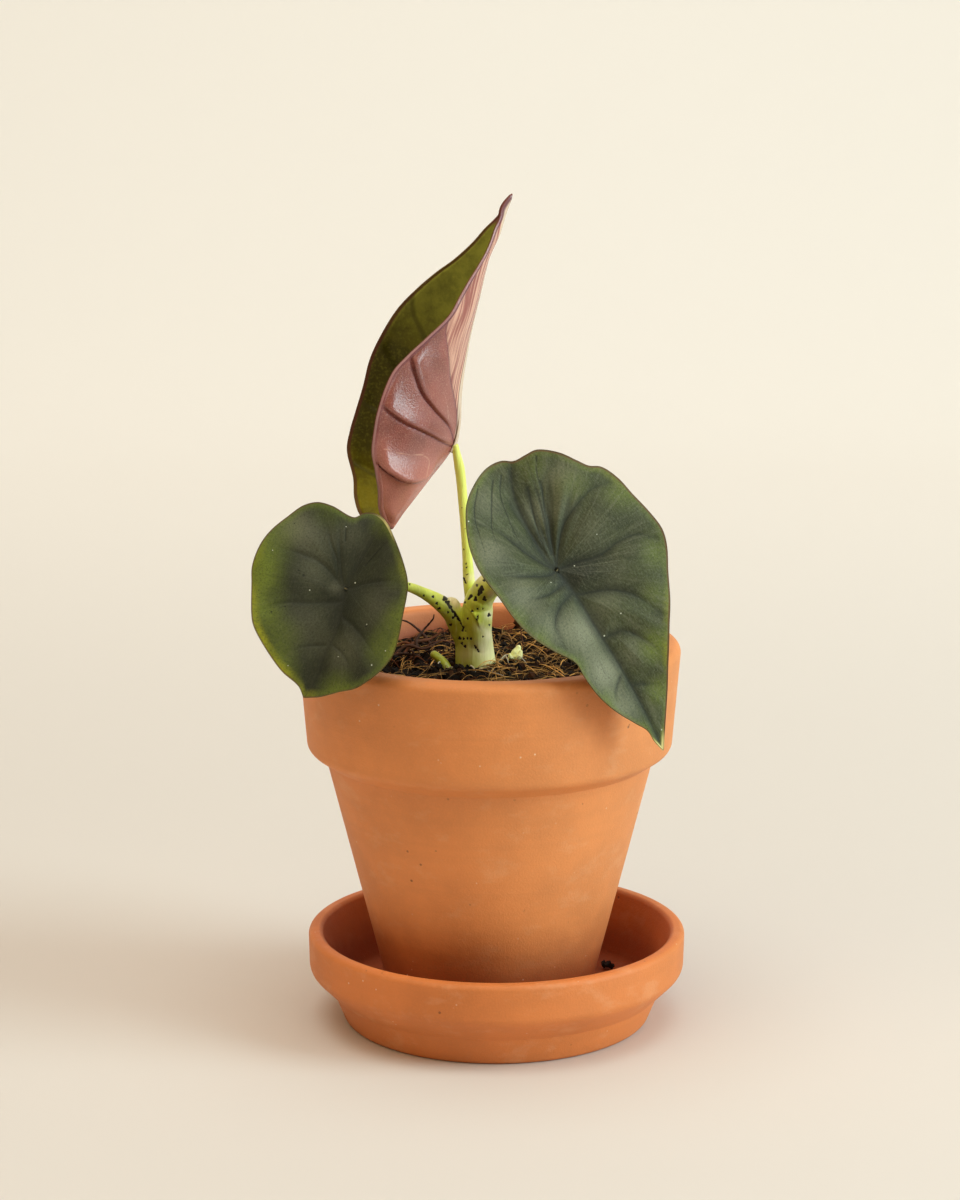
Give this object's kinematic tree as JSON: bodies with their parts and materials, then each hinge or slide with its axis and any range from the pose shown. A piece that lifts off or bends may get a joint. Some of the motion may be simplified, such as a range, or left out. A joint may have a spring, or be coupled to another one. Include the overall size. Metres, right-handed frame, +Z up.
{
  "type": "potted nebula alocasia",
  "caption": "Young aroid plant with shield-shaped leaves on slim stalks, growing in a round tapered terracotta pot that stands in its saucer.",
  "frame": {"origin": "centre of the saucer's underside", "axes": "+Z up, +X to the viewer's right in the picture, +Y away from the viewer"},
  "size_m": [0.1214, 0.1128, 0.2376],
  "materials": {
    "terracotta_saucer": "unglazed, matte, orange-brown fired clay",
    "terracotta_pot": "unglazed, matte, orange-brown fired clay with faint turning lines",
    "potting_mix": "damp dark peat with tan coir fibres",
    "stem": "lime green, waxy, with small dark spots",
    "blade_grown": "dark grey-green with a silvery sheen and darker sunken veins",
    "blade_young": "glossy pink-purple underside, dark olive upper face",
    "shoot": "fresh lime green",
    "bud": "pale cream root tissue"
  },
  "bodies": {
    "root": {"saucer": "terracotta_saucer", "pot": "terracotta_pot", "soil": "potting_mix", "stem_base": "stem", "petiole_left": "stem", "petiole_right": "stem", "petiole_upper": "stem", "blade_left": "blade_grown", "blade_right": "blade_grown", "blade_upper": "blade_young", "side_shoot": "shoot", "root_bud": "bud", "saucer_crumb": "potting_mix"}
  },
  "joints": []
}
